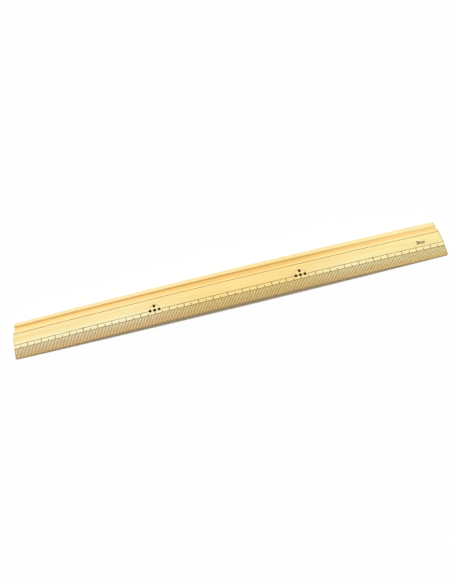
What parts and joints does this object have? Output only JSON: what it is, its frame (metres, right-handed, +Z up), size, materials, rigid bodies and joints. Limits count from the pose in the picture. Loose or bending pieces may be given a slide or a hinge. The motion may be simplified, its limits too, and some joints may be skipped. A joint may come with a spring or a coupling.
{
  "type": "sewing ruler",
  "caption": "Slim bamboo measuring strip with a graduated thin edge, centimetre dots and a lengthwise guide groove.",
  "frame": {"origin": "middle of the footprint, on the surface that the two ends rest on", "axes": "+X along the scale from its zero end, +Y from the scale edge to the back, +Z up out of the marked face"},
  "size_m": [0.3002, 0.025, 0.0065],
  "materials": {
    "bamboo": "smooth oiled bamboo with dark inked marks"
  },
  "bodies": {
    "root": {"bamboo_ruler": "bamboo"}
  },
  "joints": []
}
